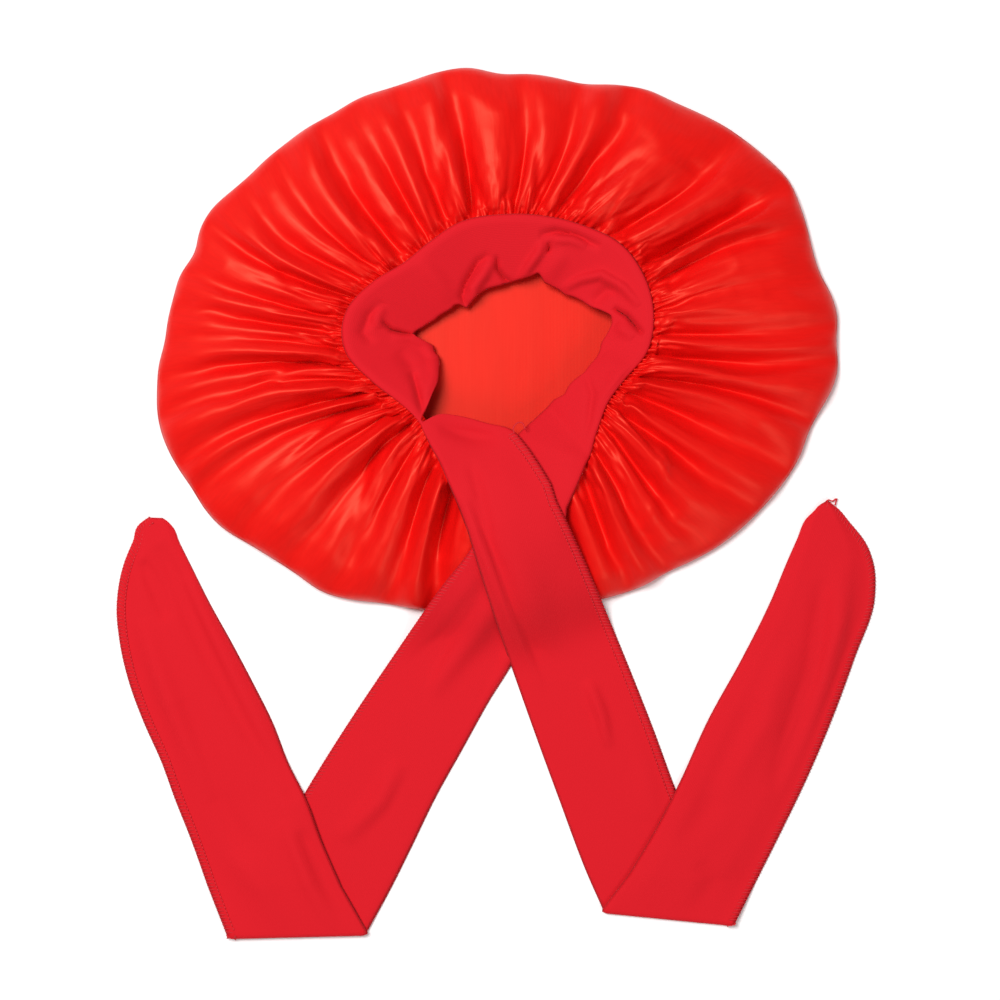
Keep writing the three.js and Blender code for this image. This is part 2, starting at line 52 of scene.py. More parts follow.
# %% [markdown]
# ## Places, in millimetres
#
# The plan is worked out in millimetres and turned to metres when a mesh is made. A place that
# was read off the photograph is given in its pixels: one pixel is 0.56 mm on the table, and the
# crown's middle is at pixel (500, 343).

# %% Pixels and smooth curves
PIXEL = 0.56
MIDDLE_PIXEL = (500, 343)


def from_pixels(points):
    points = np.asarray(points, float)
    return (points - MIDDLE_PIXEL) * (PIXEL, -PIXEL)


def smooth_curve(places, values, at, round_trip=0):
    """Values at places on a smooth curve through rows; round_trip closes it on itself."""
    places, values, at = (np.asarray(a, float) for a in (places, values, at))
    if round_trip:
        places = np.concatenate([places - round_trip, places, places + round_trip])
        values = np.concatenate([values] * 3)
        at = np.mod(at - places[len(places) // 3], round_trip) + places[len(places) // 3]
    slopes = np.gradient(values, places)
    k = np.clip(np.searchsorted(places, at, side="right") - 1, 0, len(places) - 2)
    step = places[k + 1] - places[k]
    s = np.clip((at - places[k]) / step, 0, 1)
    return ((2 * s**3 - 3 * s**2 + 1) * values[k] + (s**3 - 2 * s**2 + s) * step * slopes[k]
            + (3 * s**2 - 2 * s**3) * values[k + 1] + (s**3 - s**2) * step * slopes[k + 1])


# %% The seam and the rim, seen from above
SEAM_HALF = (87, 77)
SEAM_MIDDLE = (1, -5)
SEAM_SHARES = [.93, 1.0, 1.05, 1.075, 1.035, 1.0, .975, .96, .905, .885, .96, 1.03,
               1.0, .86, .755, .74, .84, .92, .96, .95, 1.0, .85, .775, .81]
RIM_HALF = (190, 153)
RIM_SHARES = [.988, .996, .99, .974, .978, .996, 1.016, 1.036, 1.034, 1.032, 1.03, 1.022,
              1.016, 1.02, 1.002, .976, .98, .985, .98, 1.008, 1.006, .99, .984, .984,
              .97, .968, .962, .96, .956, .964, .978, .974, .955, .972, .974, .98,
              .986, 1.008, 1.024, 1.042, 1.05, 1.052, 1.05, 1.06, 1.06, 1.042, 1.034, 1.036,
              1.05, 1.036, 1.012, 1.005, 1.0, 1.0, 1.0, .995, .99, .985, .984, .984,
              .972, .976, .982, .982, .98, .978, .978, .974, .964, .972, .99, .998]


def outline(half, shares, turn):
    share = smooth_curve(np.arange(0, 360, 360 / len(shares)), shares, turn, 360)
    angle = np.radians(turn)
    return np.stack([half[0] * share * np.cos(angle), half[1] * share * np.sin(angle)], -1)


def seam_point(turn, inside=0.0):
    """A point of the seam line, moved inside mm towards the middle of the mouth."""
    p = outline(SEAM_HALF, SEAM_SHARES, turn)
    keep = 1 - inside / np.linalg.norm(p, axis=-1)
    return np.array(SEAM_MIDDLE) + p * np.expand_dims(keep, -1)


def rim_point(turn):
    return outline(RIM_HALF, RIM_SHARES, turn)


# %% [markdown]
# ## Heights from the solids
#
# Cloth that lies on other cloth follows it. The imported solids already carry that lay, so a ray
# sent up or down through a solid gives the height of the cloth at any place of the plan.

# %% Rays through a solid
def tree_of(name):
    mesh = nodes[name].data
    points = [v.co / MM for v in mesh.vertices]
    return BVHTree.FromPolygons(points, [tuple(p.vertices) for p in mesh.polygons])


trees = {name: tree_of(name) for name in nodes}


def crossings(name, x, y):
    """Heights in mm where a plumb line meets a solid, lowest first."""
    found, z = [], -5.0
    while True:
        hit = trees[name].ray_cast(Vector((x, y, z)), Vector((0, 0, 1)))
        if hit[0] is None:
            return found
        found.append(hit[0].z)
        z = hit[0].z + 0.01


# %% [markdown]
# ## Cloth as a mesh
#
# A length of cloth is a grid of points: rows along it and points across it. Jersey folded
# double is about 1.7 mm thick with soft round edges, so its mesh is a closed skin round the
# grid, thinning to nothing at the edges. Satin is one thin layer, so the Solidify modifier
# gives it its wall. Soft folds are strokes: a line on the plan with a width and a height.

# %% Strokes, skins and meshes
def stroke_field(x, y, strokes):
    """Sum of the strokes at places: each is (points, half width, height), tapered at its ends."""
    total = np.zeros_like(x)
    for points, width, height in strokes:
        points = from_pixels(points)
        spans = np.linalg.norm(np.diff(points, axis=0), axis=1)
        run = np.concatenate([[0], np.cumsum(spans)])
        nearest = np.full(x.shape, 1e9)
        along = np.zeros_like(x)
        for k in range(len(points) - 1):
            dx, dy = points[k + 1] - points[k]
            s = np.clip(((x - points[k][0]) * dx + (y - points[k][1]) * dy) / spans[k]**2, 0, 1)
            distance = np.hypot(x - points[k][0] - s * dx, y - points[k][1] - s * dy)
            closer = distance < nearest
            nearest = np.where(closer, distance, nearest)
            along = np.where(closer, (run[k] + s * spans[k]) / run[-1], along)
        taper = np.clip(np.sin(np.clip(along, 0, 1) * np.pi), 0, 1)**0.6
        total += height * taper * np.exp(-(nearest / width)**2)
    return total


def grid_faces(rows, columns, around=False):
    faces = []
    for k in range(rows - (0 if around else 1)):
        a, b = k * columns, (k + 1) % rows * columns
        faces += [(a + j, a + j + 1, b + j + 1, b + j) for j in range(columns - 1)]
    return faces


def normals_of(grid):
    along = np.gradient(grid, axis=0)
    across = np.gradient(grid, axis=1)
    n = np.cross(along, across)
    return n / np.maximum(np.linalg.norm(n, axis=-1, keepdims=True), 1e-9)


def add_mesh(name, points, faces, uv=None):
    """A mesh object from points in mm; uv is one (u, v) in mm for each point."""
    mesh = bpy.data.meshes.new(name)
    mesh.from_pydata((np.asarray(points) * MM).tolist(), [], faces)
    mesh.update()
    if uv is not None:
        layer = mesh.uv_layers.new(name="cloth")
        corners = np.zeros(len(mesh.loops), int)
        mesh.loops.foreach_get("vertex_index", corners)
        layer.data.foreach_set("uv", np.asarray(uv)[corners].ravel())
    for polygon in mesh.polygons:
        polygon.use_smooth = True
    piece = bpy.data.objects.new(name, mesh)
    bpy.context.collection.objects.link(piece)
    return piece


def make_active(piece):
    bpy.ops.object.select_all(action="DESELECT")
    piece.select_set(True)
    bpy.context.view_layer.objects.active = piece


def face_outward(piece, merge=None):
    """Turns every face outward; points closer than merge, in metres, are joined first."""
    make_active(piece)
    bpy.ops.object.mode_set(mode="EDIT")
    bpy.ops.mesh.select_all(action="SELECT")
    if merge:
        bpy.ops.mesh.remove_doubles(threshold=merge)
    bpy.ops.mesh.normals_make_consistent(inside=False)
    bpy.ops.object.mode_set(mode="OBJECT")


def apply_modifier(piece, kind, **settings):
    make_active(piece)
    modifier = piece.modifiers.new(kind.title(), kind)
    for key, value in settings.items():
        setattr(modifier, key, value)
    bpy.ops.object.modifier_apply(modifier=modifier.name)


def skin(name, grid, thickness, uv):
    """A closed skin round a grid of mid points, full in the middle and round at the edges."""
    rows, columns = grid.shape[:2]
    width = np.linalg.norm(np.diff(grid, axis=1), axis=2)
    run = np.concatenate([np.zeros((rows, 1)), np.cumsum(width, axis=1)], axis=1)
    edge = np.minimum(run, run[:, -1:] - run)
    half = thickness / 2
    bulge = half * np.sqrt(np.clip(1 - (1 - np.clip(edge / half, 0, 1))**2, 0, 1))
    bulge[0] = bulge[-1] = 0
    normal = normals_of(grid)
    normal = np.where(normal[..., 2:].mean() < 0, -normal, normal)
    top = grid + normal * bulge[..., None]
    under = grid - normal * bulge[..., None]
    points = np.concatenate([top.reshape(-1, 3), under.reshape(-1, 3)])
    faces = grid_faces(rows, columns)
    faces += [tuple(i + rows * columns for i in f[::-1]) for f in faces]
    piece = add_mesh(name, points, faces, np.concatenate([uv.reshape(-1, 2)] * 2))
    face_outward(piece, merge=1e-6)
    return piece


# %% [markdown]
# ## The crown
#
# The crown is a disc of satin whose edge is drawn up into a seam a third of its length. The
# spare cloth stands up as folds: hundreds of fine gathers at the seam, which run together into
# about forty folds and die away over the puffed rim. The finished grid has a column for each
# third of a degree. The broad folds come from a table that was read off the photograph, and
# the fine gathers from seeded random draws, since nobody places those by hand.

# %% The broad folds
# turn at the seam, turn at the rim, how high the ridge stands, how deep the valley after it is
FOLDS = np.array([
    (3, 1, .7, .9), (13, 8, .8, .5), (20, 18, .5, .9), (31, 30, .9, 1.3), (44, 43, .8, 1.0),
    (61, 56, 1.0, 1.0), (75, 73, .8, .9), (83, 84, .6, .8), (91, 92, .7, .9), (104, 103, .9, .8),
    (117, 113, .8, .8), (126, 120, .6, 1.0), (139, 127, 1.0, .6), (147, 138, .6, .7),
    (156, 149, .9, .9), (163, 158, .6, .7), (170, 168, .7, .8), (176, 176, .6, .5),
    (183, 183, .9, 1.0), (190, 191, .6, .7), (197, 199, .9, .8), (204, 208, .8, .9),
    (211, 218, .6, .8), (218, 228, 1.0, 1.0), (226, 237, .7, .8), (236, 246, .8, .9),
    (248, 255, 1.0, 1.2), (260, 265, .8, .9), (272, 274, 1.0, .9), (284, 282, .8, 1.0),
    (295, 289, .7, 1.0), (305, 297, 1.0, .9), (317, 306, .7, .9), (326, 315, .9, .8),
    (334, 325, .7, 1.0), (343, 338, .9, .9), (352, 350, .8, .9)])
FOLD_RISE = 7.6
FOLD_DIP = 9.6
SEAM_HEIGHT = 20.0
COLUMNS = 320
FINE_COLUMNS = 1080
rng = np.random.default_rng(11)


def crown_columns():
    """Seam turn, rim turn and the fold's lift from -1 to 1 for each column of the crown."""
    ends = np.vstack([FOLDS, FOLDS[:1] + (360, 360, 0, 0)])
    rim = np.linspace(0, 1, COLUMNS, endpoint=False) * 360 + 1
    seam = np.interp(rim, ends[:, 1], ends[:, 0])
    k = np.searchsorted(ends[:, 1], rim, side="right") - 1
    s = (rim - ends[k, 1]) / (ends[k + 1, 1] - ends[k, 1])
    lean = rng.uniform(.24, .76, len(FOLDS))[k]
    s = np.where(s < lean, s / lean / 2, .5 + (s - lean) / (1 - lean) / 2)
    wave = np.abs(np.cos(s * np.pi))**.7
    rise = (ends[k, 2] * (1 - s) + ends[k + 1, 2] * s)**1.5
    lift = rise * FOLD_RISE * wave - ends[k, 3]**1.5 * FOLD_DIP * (1 - wave)
    return seam, rim, lift


# share of the way out to the rim, height as a share of the seam's, how fully folds stand there
PROFILE = np.array([
    (-.05, 1.0, 0), (0, 1.0, 0), (.03, 1.02, .35), (.1, 1.04, .75), (.25, 1.02, 1.0),
    (.45, .95, .95), (.65, .85, .85), (.82, .7, .75), (.94, .48, .6), (.985, .32, .36),
    (1.0, .22, .18), (.992, .12, .06), (.97, .05, 0), (.93, .01, 0), (.8, .01, 0), (.5, .01, 0),
    (.2, .01, 0), (0.06, .01, 0)])
ROWS_BETWEEN = [1, 2, 5, 6, 6, 6, 5, 3, 2, 1, 1, 1, 1, 1, 1, 1, 1]


def crown_profile():
    """The profile's rows, with the rows between filled in smoothly."""
    place = np.arange(len(PROFILE))
    fine = np.concatenate([k + np.arange(n) / n for k, n in enumerate(ROWS_BETWEEN)])
    fine = np.append(fine, place[-1])
    return [smooth_curve(place, PROFILE[:, c], fine) for c in range(3)]


seam_turn, rim_turn, fold_lift = crown_columns()
out_share, up_share, swell_share = crown_profile()
RIM_ROW = int(np.argmax(out_share))
print("crown:", COLUMNS, "columns,", len(out_share), "rows, rim at row", RIM_ROW)

# %% The plan of the crown
# where the columns of the underside meet
HUB = np.array((0.045, 0.03)) * RIM_HALF[0]
# most that a fold swings aside half way out, in degrees
SWAY = 3.4
# width of satin that reaches in under the band at the seam
SEAM_LAP = 4


def crown_plan():
    """x and y of every point, columns by rows."""
    plan = np.zeros((COLUMNS, len(out_share), 2))
    sway = smooth_curve(np.arange(0, 360, 20), rng.uniform(-SWAY, SWAY, 18), rim_turn, 360)
    for row, out in enumerate(out_share):
        if row <= RIM_ROW:
            blend = np.clip(out, 0, 1)
            turn = seam_turn * (1 - blend) + rim_turn * blend + sway * math.sin(math.pi * blend)
            inside = SEAM_LAP * (out / PROFILE[0, 0]) if out < 0 else 0.0
            seam = seam_point(turn, inside)
            plan[:, row] = seam * (1 - blend) + rim_point(turn) * blend
        else:
            rim = rim_point(rim_turn)
            plan[:, row] = HUB * (1 - out) + rim * out
    return plan


plan = crown_plan()

# %% The first shape
# how far out each fold runs, as a share: some reach the rim and some die away before it
fold_end = smooth_curve(FOLDS[:, 1], rng.uniform(.6, 1.3, len(FOLDS)), rim_turn, 360)
dying = 1 - .8 * np.clip((out_share[None, :] - fold_end[:, None]) / .35, 0, 1)
height = SEAM_HEIGHT * up_share[None, :] + fold_lift[:, None] * swell_share[None, :] * dying
print("crown heights, mm:", round(height.min(), 1), "to", round(height.max(), 1))

# %% Creases read off the photograph
# each: turns from the rim side to the seam side, where it starts and ends as shares of the way
# out, its half width in mm and its height in mm
CREASES = [
    ((34.5, 34.5), .92, .02, 2.2, -4.0), ((49, 52), .85, .1, 2.5, -2.5),
    ((56.5, 65.6), .8, .05, 2.2, -3.0), ((84, 78), .85, .1, 2.2, -2.2), ((88, 88), .8, .1, 2, -2),
    ((98.7, 98.7), .95, .05, 2.2, -3.0), ((100, 110.6), .9, .05, 2.2, -2.5),
    ((115.6, 119.6), .85, .1, 2, -2.2), ((128, 132, 140.6), .9, .05, 2.2, -2.6),
    ((150, 156), .85, .05, 2.2, -2.4), ((162, 160.6, 165), .9, .05, 2, -2.4),
    ((175, 173.8), .85, .1, 2, -2.0), ((185, 187), .9, .1, 2.6, -2.6),
    ((195, 188.8, 182.5), .85, .05, 2, -2.4), ((201.5, 202, 195), .9, .05, 2, -2.4),
    ((217, 212.5, 207.5, 205.6), .92, .05, 2.2, -2.8), ((228, 220, 216), .9, .05, 2.2, 2.0),
    ((240, 231, 218.8), .92, .05, 2.2, -2.6), ((240, 228.8), .95, .05, 2.2, -2.4),
    ((255, 248), .9, .05, 2.4, 2.2), ((257, 253), .95, .1, 2.6, -3.0),
    ((293, 296), .95, .05, 2.6, -3.2), ((297.5, 305), .9, .1, 2.6, 1.8),
    ((311, 314), .8, .1, 2.4, -2.4), ((320, 330.6), .85, .05, 2.2, -2.4),
    ((303, 313, 325.6, 329, 336), .72, .1, 2.4, 1.8), ((330, 337.5), .9, .05, 2.2, -2.6),
    ((340, 342), .85, .1, 2.4, -2.0), ((353, 355, 358.8), .9, .05, 2.2, -2.6),
    ((24, 24), .6, .1, 3.0, -2.0), ((8, 10), .8, .1, 2.4, -2.2), ((68, 69), .8, .1, 3, -2.0),
]


def crease_points(turns, start, stop):
    out = np.linspace(start, stop, 9)
    turn = np.interp(np.linspace(0, 1, 9), np.linspace(0, 1, len(turns)), turns)
    seam, rim = seam_point(turn), rim_point(turn)
    points = seam * (1 - out[:, None]) + rim * out[:, None]
    return points / (PIXEL, -PIXEL) + MIDDLE_PIXEL


# the creases start a little further in and are softer than they look in the photograph
CREASE_REACH = .85
CREASE_SOFTNESS = 1.35
creases = [(crease_points(turns, start * CREASE_REACH, stop), width * CREASE_SOFTNESS, rise)
           for turns, start, stop, width, rise in CREASES]
top_rows = slice(0, RIM_ROW)
fade = np.clip(swell_share[top_rows] * 2.2, 0, 1)[None, :]
height[:, top_rows] += fade * stroke_field(plan[:, top_rows, 0], plan[:, top_rows, 1], creases)

# %% [markdown]
# Real satin has more cloth than its folds show, and it buckles where it is pressed together.
# A short Cloth simulation does that: the seam and the underside are pinned, the rim is held
# softly, and the cloth is told to grow, so the spare length crumples into the folds that were
# laid out. It runs at ten times the size, because the solver is steadier there, with no
# gravity, because air and the stiff gathers carry the satin.

# %% Let the satin buckle
SIM_SCALE = 10
SIM_FRAMES = 28
GROWTH_AT_SEAM = 0.09
GROWTH_AT_RIM = 0.015
PRESSURE = .08


def buckle(points):
    """Grid of points in mm after the cloth has grown and settled."""
    rows = points.shape[1]
    piece = add_mesh("satin_at_rest", points.reshape(-1, 3) * SIM_SCALE,
                     grid_faces(COLUMNS, rows, around=True))
    hold = np.ones(rows)
    hold[4:RIM_ROW] = np.clip((out_share[4:RIM_ROW] - .7) / .3, 0, 1) * .8
    pins = piece.vertex_groups.new(name="pins")
    for row in range(rows):
        if hold[row] > 0:
            pins.add([k * rows + row for k in range(COLUMNS)], float(hold[row]), "REPLACE")
    spare = piece.vertex_groups.new(name="spare")
    for row in range(rows):
        share = float(np.clip(1 - out_share[row] / .8, 0, 1)) if row < RIM_ROW else 0.0
        spare.add([k * rows + row for k in range(COLUMNS)], share, "REPLACE")
    modifier = piece.modifiers.new("Cloth", "CLOTH")
    cloth = modifier.settings
    cloth.vertex_group_mass = "pins"
    cloth.quality = 6
    cloth.mass = .2
    cloth.tension_stiffness = cloth.compression_stiffness = 20
    cloth.shear_stiffness = 8
    cloth.bending_stiffness = 2.0
    cloth.tension_damping = cloth.compression_damping = 12
    cloth.bending_damping = 1.5
    cloth.air_damping = 3
    cloth.shrink_min = -GROWTH_AT_RIM
    cloth.shrink_max = -GROWTH_AT_SEAM
    cloth.vertex_group_shrink = "spare"
    cloth.use_pressure = True
    cloth.uniform_pressure_force = PRESSURE
    cloth.effector_weights.gravity = 0
    modifier.collision_settings.use_collision = False
    modifier.point_cache.frame_start = 1
    modifier.point_cache.frame_end = SIM_FRAMES
    for frame_number in range(1, SIM_FRAMES + 1):
        bpy.context.scene.frame_set(frame_number)
    settled = piece.evaluated_get(bpy.context.evaluated_depsgraph_get()).data
    places = np.zeros(len(settled.vertices) * 3)
    settled.vertices.foreach_get("co", places)
    bpy.data.objects.remove(piece)
    bpy.context.scene.frame_set(1)
    return places.reshape(points.shape) / MM / SIM_SCALE


crown_grid = np.concatenate([plan, height[..., None]], axis=2)
first_shape = crown_grid
crown_grid = buckle(first_shape)
moved = np.linalg.norm(crown_grid - first_shape, axis=2)
print("cloth moved, mm: mean", round(moved.mean(), 2), "most", round(moved.max(), 2))

# %% More columns for the fine gathers
def more_columns(grid, count):
    at = np.linspace(0, len(grid), count, endpoint=False)
    places = np.arange(len(grid))
    return np.stack([np.stack([smooth_curve(places, grid[:, row, axis], at, len(grid))
                               for row in range(grid.shape[1])], 1) for axis in range(3)], 2)


def calm(grid, reach):
    """Evens the folds across the columns, more and more with the distance from the seam."""
    ring = np.concatenate([grid[-reach:], grid, grid[:reach]])
    kernel = np.hanning(2 * reach + 3)[1:-1]
    kernel /= kernel.sum()
    even = np.apply_along_axis(lambda v: np.convolve(v, kernel, "valid"), 0, ring)
    amount = np.clip((out_share - .12) / .5, 0, 1)
    amount[RIM_ROW:] = 1
    return grid * (1 - amount[None, :, None]) + even * amount[None, :, None]


CALM_REACH = 2
crown_grid = more_columns(calm(crown_grid, CALM_REACH), FINE_COLUMNS)
from_seam = np.concatenate([np.zeros((FINE_COLUMNS, 1)), np.cumsum(
    np.linalg.norm(np.diff(crown_grid, axis=1), axis=2), axis=1)], axis=1)
from_seam = np.maximum(from_seam - from_seam[:, 1:2], 0)


def gathers(count, depth, reach, width, spread):
    """Valleys drawn into the cloth from the seam: each dies away at its own distance."""
    place = (np.arange(count) + rng.uniform(-.3, .3, count)) / count
    deep = depth * rng.uniform(.5, 1.3, count)
    length = reach * rng.uniform(.5, 1.6, count)
    drift = rng.uniform(-spread, spread, count)
    column = np.arange(FINE_COLUMNS) / FINE_COLUMNS
    away = from_seam[:, :RIM_ROW]
    field = np.zeros(from_seam.shape)
    for k in range(count):
        middle = place[k] + drift[k] / count * away.mean(0) / reach
        gap = np.abs((column[:, None] - middle[None, :] + .5) % 1 - .5) * count
        field[:, :RIM_ROW] -= deep[k] * np.exp(-(gap / width)**2 - (away / length[k])**1.5)
    return field


crown_grid[..., 2] += gathers(64, 2.6, 20, .17, .6) * np.clip(from_seam / 4 + .2, 0, 1)
crown_grid[..., 2] += 1.2 * np.exp(-(from_seam / 8)**2) + gathers(160, 3.0, 7.5, .28, .3)

# %% [markdown]
# ## The band and its ties
#
# One long strip of jersey, folded double, makes the band and both ties. Its cut edges are sewn
# to the gathers round the mouth, and its fold is the free edge, which hangs a little into the
# mouth. The strip has to turn a tight curve there, so it buckles into soft hooks and rolls.
# Past the gathers each end runs on as a tie: down one leg, over in a crease and back along a
# second leg that lies over the first. It is modelled as the one strip that it is, so nothing
# shows where the band ends and a tie begins.

# %% The band's grid
ACROSS = 30
KNIT = 1.7
BAND_WIDTH = 57
# how far the band would sink over its whole width, and the least height of its middle
BAND_SINK = 21
BAND_LOWEST = 1.8
BAND_START, BAND_END = 226, -54
# its folds are narrower and taller than they were read
FOLD_NARROWING = .8
FOLD_RAISING = 1.5
FREE_EDGE = [(421, 420), (428, 409), (438, 384), (440, 357), (435, 346), (419, 338), (413, 335),
             (424, 328), (435, 321), (446, 313), (455, 306), (462, 305), (466, 311), (471, 304),
             (484, 292), (500, 287), (509, 284), (520, 281), (530, 278), (538, 274), (544, 284),
             (564, 296), (589, 308), (610, 317), (611, 324), (600, 344), (584, 373), (564, 395),
             (544, 409), (526, 423)]
# each: pixels along the fold, half width in mm, height in mm
BAND_FOLDS = [
    (((386, 304), (370, 318), (364, 334), (374, 346)), 3.4, -1.8),
    (((392, 340), (410, 338), (425, 344), (434, 358), (434, 375), (426, 400)), 3.6, 1.5),
    (((383, 322), (392, 331), (404, 334), (414, 335)), 1.7, -4.0),
    (((384, 306), (378, 318), (380, 330)), 3.0, 1.6),
    (((412, 372), (418, 392), (424, 416)), 3.0, -2.6),
    (((398, 352), (410, 366), (416, 384)), 5.0, -1.2),
    (((466, 311), (462, 297), (466, 284), (478, 264), (490, 256)), 2.4, -2.6),
    (((474, 304), (474, 290), (484, 276), (492, 262)), 3.2, 2.6),
    (((497, 258), (497, 270), (504, 279), (514, 285)), 1.8, -3.4),
    (((520, 281), (529, 268), (538, 256), (542, 244)), 3.0, 2.2),
    (((548, 244), (549, 250), (547, 256)), 1.6, -3.0),
    (((538, 238), (555, 234), (575, 238), (600, 250)), 2.6, -2.8),
    (((552, 243), (570, 242), (586, 248)), 2.6, 1.4),
    (((543, 282), (556, 264), (566, 254)), 6.0, 1.2),
    (((562, 290), (580, 281), (600, 277), (622, 290), (638, 308)), 2.8, 2.4),
    (((592, 305), (606, 292), (618, 292)), 4.5, -1.8),
    (((612, 309), (626, 318), (642, 337)), 1.8, -4.0),
    (((616, 326), (632, 340)), 4.0, 1.4),
    (((585, 375), (592, 395), (586, 440)), 3.0, -1.2),
    (((604, 356), (618, 372), (606, 410)), 6.0, .8),
    (((420, 262), (440, 285), (452, 302)), 6.0, 1.0),
]


def free_reach(turn):
    """How far the free edge stands in from the seam, in mm, at turns."""
    from_middle = from_pixels(FREE_EDGE) - SEAM_MIDDLE
    at = np.degrees(np.arctan2(from_middle[:, 1] / SEAM_HALF[1], from_middle[:, 0] / SEAM_HALF[0]))
    at = np.where(at < -90, at + 360, at)
    to_seam = np.linalg.norm(seam_point(at) - SEAM_MIDDLE, axis=1)
    reach = to_seam - np.linalg.norm(from_middle, axis=1)
    return np.interp(-turn, -at, reach)


# weights that round the corners between the points of FREE_EDGE
EDGE_EASE = np.hanning(9)[1:-1] / np.hanning(9)[1:-1].sum()


def band_grid(stations=460):
    turn = np.linspace(BAND_START, BAND_END, stations)
    reach = np.convolve(np.pad(free_reach(turn), 3, mode="edge"), EDGE_EASE, "valid")
    share = np.linspace(0, 1, ACROSS)
    grid = np.zeros((stations, ACROSS, 3))
    for j, s in enumerate(share):
        grid[:, j, :2] = seam_point(turn, reach * s)
        depth = np.maximum(reach * s - SEAM_LAP, 0)
        grid[:, j, 2] = SEAM_HEIGHT + .3 + KNIT / 2 - BAND_SINK * depth / BAND_WIDTH
    crisp = [(points, width * FOLD_NARROWING, height * FOLD_RAISING)
             for points, width, height in BAND_FOLDS]
    folds = stroke_field(grid[..., 0], grid[..., 1], crisp)
    grid[..., 2] += folds * np.clip(share * 6, 0, 1)[None, :]
    grid[..., 2] = np.maximum(grid[..., 2], BAND_LOWEST)
    return grid


def plan_uv(grid):
    """Distances in mm along and across a grid of cloth, for its pattern of stitches."""
    middle_line = grid[:, grid.shape[1] // 2]
    along = np.concatenate([[0], np.cumsum(np.linalg.norm(np.diff(middle_line, axis=0), axis=1))])
    across = np.concatenate([np.zeros((len(grid), 1)), np.cumsum(np.linalg.norm(
        np.diff(grid, axis=1), axis=2), axis=1)], axis=1)
    return np.stack([np.repeat(along[:, None], grid.shape[1], 1), across], -1)


band_mid = band_grid()

# %% [markdown]
# The sections of the legs were read off the photograph. The heights come from the packed
# solids, which already lie over the crown, the band and each other, and the second legs are
# lifted a little more so that their shadow shows.

# %% Sections of the legs
TIE_WIDTH = 57
# share of the leg's run, west edge, east edge and slant, as shares of the tie's width
OVER_FIRST = [(.041, -.04, .48, -.14), (.099, -.02, .86, -.13), (.174, -.02, .85, -.01),
              (.252, -.07, .86, .17), (.421, -.19, .83, .32), (.616, -.3, .76, .51),
              (.776, -.38, .68, .59), (.931, -.45, .65, .64), (1.0, -.46, .66, .68)]
OVER_SECOND = [(.098, -.51, .68, .36), (.215, -.43, .73, .39), (.352, -.37, .78, .44),
               (.5, -.33, .8, .44), (.649, -.24, .79, .41), (.795, -.18, .76, .38),
               (.884, -.17, .6, .3), (.924, -.16, .47, .22), (.964, -.15, .25, .13),
               (.985, -.1, .11, .1), (1.0, -.06, -.02, .05)]
UNDER_FIRST = [(.041, -.37, .36, .31), (.088, -.45, .38, .29), (.176, -.36, .49, .27),
               (.27, -.28, .57, .25), (.375, -.36, .62, .23), (.492, -.44, .6, -.08),
               (.6, -.5, .6, -.28), (.714, -.54, .6, -.41), (.822, -.55, .63, -.52),
               (.918, -.55, .65, -.62), (1.0, -.54, .65, -.7)]
UNDER_SECOND = [(.117, -.69, .56, -.42), (.234, -.7, .52, -.43), (.323, -.72, .51, -.42),
                (.421, -.73, .45, -.4), (.519, -.77, .43, -.41), (.617, -.78, .37, -.39),
                (.714, -.74, .3, -.36), (.809, -.64, .22, -.3), (.9, -.44, .16, -.22),
                (.944, -.3, .13, -.16), (.985, -.17, .1, -.1), (.997, -.08, .05, -.05)]
LEGS = {
    "tie_over": ((307, -64.4, OVER_FIRST), (247, 68.8, OVER_SECOND)),
    "tie_under": ((318, -119.0, UNDER_FIRST), (246, 108.7, UNDER_SECOND)),
}


def leg_edges(start, length, heading, table, steps):
    table = np.array(table)
    run = np.linspace(table[0, 0], table[-1, 0], steps)
    west, east, slant = (smooth_curve(table[:, 0], table[:, c], run) for c in (1, 2, 3))
    angle = math.radians(heading)
    along = np.array((math.cos(angle), math.sin(angle)))
    side = np.array((abs(along[1]), -along[0] if along[1] > 0 else along[0]))
    def edge(shift, lead):
        ahead = run * length + lead * TIE_WIDTH * slant / 2
        return start + ahead[:, None] * along + TIE_WIDTH * shift[:, None] * side
    return edge(west, -1), edge(east, 1)


def leg_plan(west, east):
    share = np.linspace(0, 1, ACROSS)[None, :, None]
    return west[:, None, :] * (1 - share) + east[:, None, :] * share


# %% Heights along a tie
def soften(values, rows, columns):
    """Running mean along both ways of a grid, so the solid's flat faces don't show."""
    for axis, size in ((0, rows), (1, columns)):
        pad = [(0, 0), (0, 0)]
        pad[axis] = (size, size)
        padded = np.pad(values, pad, mode="edge")
        kernel = np.hanning(2 * size + 3)[1:-1]
        kernel /= kernel.sum()
        values = np.apply_along_axis(lambda v: np.convolve(v, kernel, "valid"), axis, padded)
    return values


def lay_on(name, places, pick):
    """Height of the middle of the cloth at each place of a leg, from its solid."""
    height = np.full(places.shape[:2], np.nan)
    centre = places.mean(1, keepdims=True)
    for i in range(places.shape[0]):
        for j in range(places.shape[1]):
            x, y = places[i, j] * .975 + centre[i, 0] * .025
            found = crossings(name, x, y)
            if len(found) > 1:
                height[i, j] = (found[0] + found[1]) / 2 if pick == "first" \
                    else (found[-1] + found[-2]) / 2
    for i in range(height.shape[0]):
        row = height[i]
        good = ~np.isnan(row)
        if good.any():
            height[i] = np.interp(np.arange(len(row)), np.flatnonzero(good), row[good])
        else:
            height[i] = height[i - 1]
    return soften(height, 9, 3)


